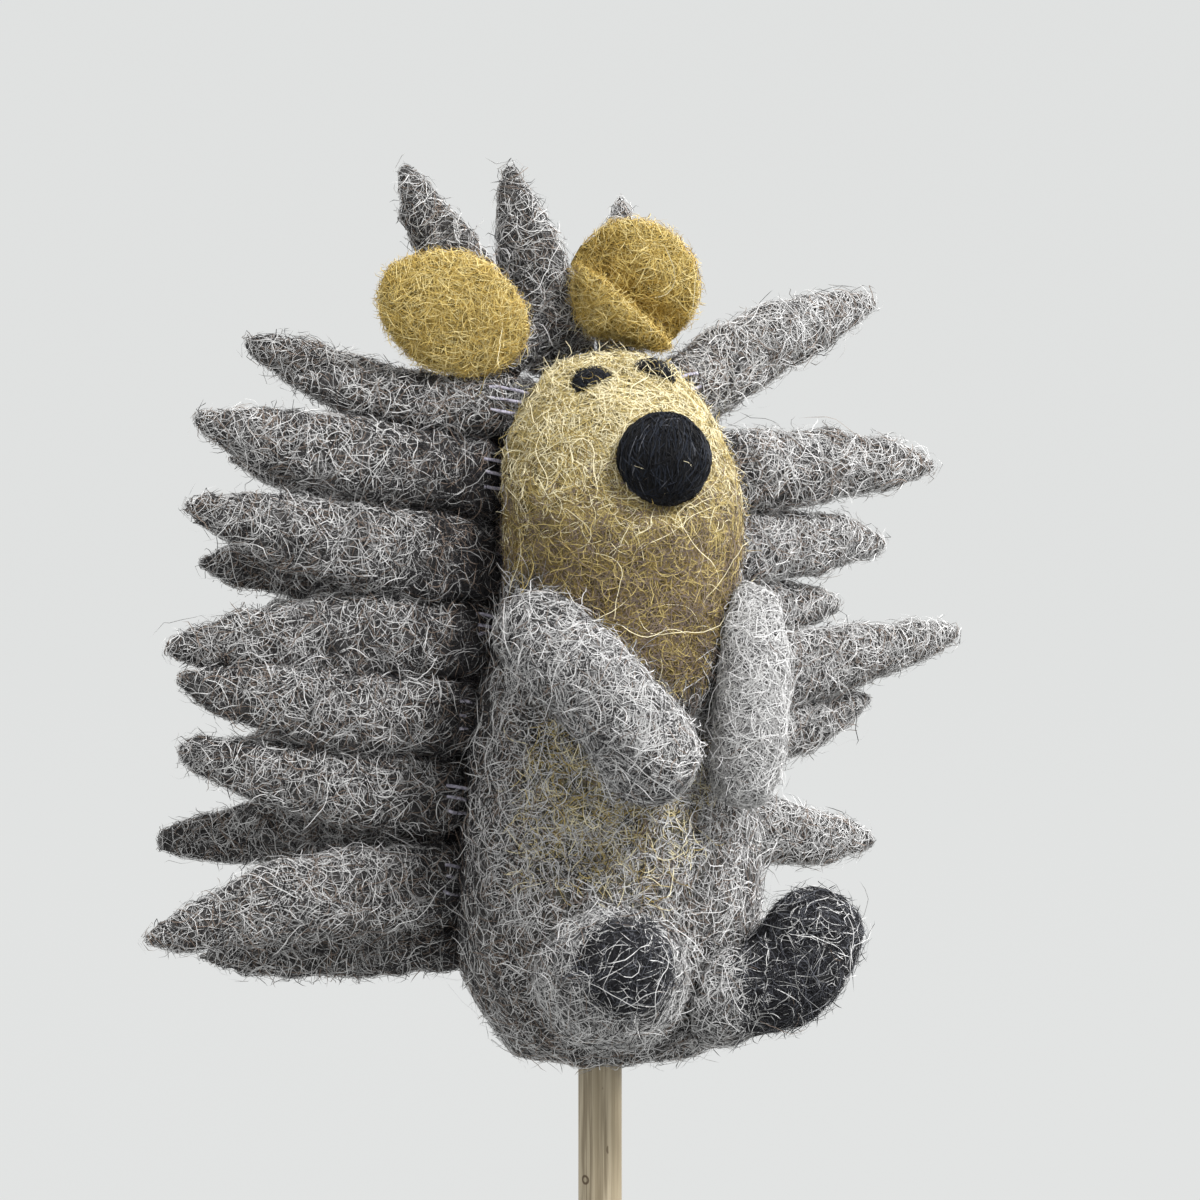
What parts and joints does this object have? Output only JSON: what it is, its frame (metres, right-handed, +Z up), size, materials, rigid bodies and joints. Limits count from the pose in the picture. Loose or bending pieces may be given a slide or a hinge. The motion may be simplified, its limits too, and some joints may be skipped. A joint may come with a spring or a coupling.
{
  "type": "finger puppet",
  "caption": "Felted wool hedgehog finger puppet with rows of soft spikes, round ears, black nose and crossed arms, standing on a bamboo stick.",
  "frame": {"origin": "centre of the stick's flat lower end", "axes": "+Z up along the stick; the puppet faces -Y; its own left hand is at +X"},
  "size_m": [0.1051, 0.0692, 0.1635],
  "materials": {
    "bamboo": "satin, lengthwise grain",
    "grey_felt": "fuzzy hand-felted wool",
    "pale_grey_felt": "fuzzy hand-felted wool",
    "beige_felt": "fuzzy hand-felted wool",
    "mustard_felt": "fuzzy hand-felted wool",
    "black_felt": "tight felted wool",
    "charcoal_felt": "fuzzy hand-felted wool",
    "sewing_thread": "matt sewing thread",
    "loose_wool": "loose unspun wool"
  },
  "bodies": {
    "stick": {"stick": "bamboo"},
    "puppet": {"body_tube": "grey_felt", "face_cap": "beige_felt", "nose": "black_felt", "eye_left": "black_felt", "eye_right": "black_felt", "thread_left": "sewing_thread", "thread_right": "sewing_thread", "wool_wad": "loose_wool", "spike_right_mid_1": "grey_felt", "spike_right_mid_2": "grey_felt", "spike_right_mid_3": "grey_felt", "spike_right_mid_4": "grey_felt", "spike_right_mid_5": "grey_felt", "spike_left_mid_1": "grey_felt", "spike_left_mid_2": "grey_felt", "spike_left_mid_3": "grey_felt", "spike_left_mid_4": "grey_felt", "spike_left_mid_5": "grey_felt", "spike_right_rear_1": "grey_felt", "spike_right_rear_2": "grey_felt", "spike_right_rear_3": "grey_felt", "spike_right_rear_4": "grey_felt", "spike_left_rear_1": "grey_felt", "spike_left_rear_2": "grey_felt", "spike_left_rear_3": "grey_felt", "spike_left_rear_4": "grey_felt", "spike_back_1": "grey_felt", "spike_back_2": "grey_felt", "spike_back_3": "grey_felt", "spike_back_4": "grey_felt"},
    "arm_left": {"arm_left": "pale_grey_felt"},
    "arm_right": {"arm_right": "pale_grey_felt"},
    "leg_left": {"leg_left": "pale_grey_felt", "foot_left": "charcoal_felt"},
    "leg_right": {"leg_right": "pale_grey_felt", "foot_right": "charcoal_felt"},
    "ear_left": {"ear_left": "mustard_felt"},
    "ear_right": {"ear_right": "mustard_felt"},
    "spikes_left_front": {"spike_left_front_1": "grey_felt", "spike_left_front_2": "grey_felt", "spike_left_front_3": "grey_felt", "spike_left_front_4": "grey_felt", "spike_left_front_5": "grey_felt", "spike_left_front_6": "grey_felt", "spike_left_front_7": "grey_felt"},
    "spikes_right_front": {"spike_right_front_1": "grey_felt", "spike_right_front_2": "grey_felt", "spike_right_front_3": "grey_felt", "spike_right_front_4": "grey_felt", "spike_right_front_5": "grey_felt", "spike_right_front_6": "grey_felt", "spike_right_front_7": "grey_felt"},
    "spike_crown_1": {"spike_crown_1": "grey_felt"},
    "spike_crown_2": {"spike_crown_2": "grey_felt"},
    "spike_crown_3": {"spike_crown_3": "grey_felt"},
    "spike_crown_4": {"spike_crown_4": "grey_felt"}
  },
  "joints": [
    {"name": "puppet_turn", "type": "hinge", "parent": "stick", "child": "puppet", "pos_m": [0, 0, 0.065], "axis": [0, 0, 1], "continuous": true},
    {"name": "arm_left_open", "type": "hinge", "parent": "puppet", "child": "arm_left", "pos_m": [0.011, -0.0104, 0.111], "axis": [0, 0, 1], "range_deg": [0, 40], "stiffness_Nm_per_rad": 0.02},
    {"name": "arm_right_open", "type": "hinge", "parent": "puppet", "child": "arm_right", "pos_m": [-0.0136, -0.0036, 0.111], "axis": [0, 0, -1], "range_deg": [0, 40], "stiffness_Nm_per_rad": 0.02},
    {"name": "leg_left_raise", "type": "hinge", "parent": "puppet", "child": "leg_left", "pos_m": [0.0084, -0.016, 0.0805], "axis": [-0.6, -0.8, 0], "range_deg": [0, 25], "stiffness_Nm_per_rad": 0.04},
    {"name": "leg_right_raise", "type": "hinge", "parent": "puppet", "child": "leg_right", "pos_m": [-0.006, -0.0164, 0.0845], "axis": [-0.9806, 0.1961, 0], "range_deg": [0, 25], "stiffness_Nm_per_rad": 0.04},
    {"name": "ear_left_fold", "type": "hinge", "parent": "puppet", "child": "ear_left", "pos_m": [0.008, 0.0002, 0.1436], "axis": [0.9806, 0, 0.1961], "range_deg": [-8, 25], "stiffness_Nm_per_rad": 0.01},
    {"name": "ear_right_fold", "type": "hinge", "parent": "puppet", "child": "ear_right", "pos_m": [-0.0106, -0.0004, 0.1432], "axis": [0.3987, 0, 0.9171], "range_deg": [-8, 25], "stiffness_Nm_per_rad": 0.01},
    {"name": "spikes_left_front_swing", "type": "hinge", "parent": "puppet", "child": "spikes_left_front", "pos_m": [0.0134, 0.0036, 0.095], "axis": [-0.097, -0.032, -0.9948], "range_deg": [0, 12], "stiffness_Nm_per_rad": 0.1},
    {"name": "spikes_right_front_swing", "type": "hinge", "parent": "puppet", "child": "spikes_right_front", "pos_m": [-0.0134, 0.0036, 0.095], "axis": [0.097, -0.032, 0.9948], "range_deg": [0, 12], "stiffness_Nm_per_rad": 0.1},
    {"name": "spike_crown_1_bend", "type": "hinge", "parent": "puppet", "child": "spike_crown_1", "pos_m": [-0.006, 0.0074, 0.14], "axis": [-1, 0, 0], "range_deg": [0, 12], "stiffness_Nm_per_rad": 0.01},
    {"name": "spike_crown_2_bend", "type": "hinge", "parent": "puppet", "child": "spike_crown_2", "pos_m": [-0.0008, 0.0092, 0.141], "axis": [-1, 0, 0], "range_deg": [0, 12], "stiffness_Nm_per_rad": 0.01},
    {"name": "spike_crown_3_bend", "type": "hinge", "parent": "puppet", "child": "spike_crown_3", "pos_m": [0.0064, 0.0088, 0.14], "axis": [-1, 0, 0], "range_deg": [0, 12], "stiffness_Nm_per_rad": 0.01},
    {"name": "spike_crown_4_bend", "type": "hinge", "parent": "puppet", "child": "spike_crown_4", "pos_m": [0.0024, 0.0114, 0.139], "axis": [-1, 0, 0], "range_deg": [0, 12], "stiffness_Nm_per_rad": 0.01}
  ]
}
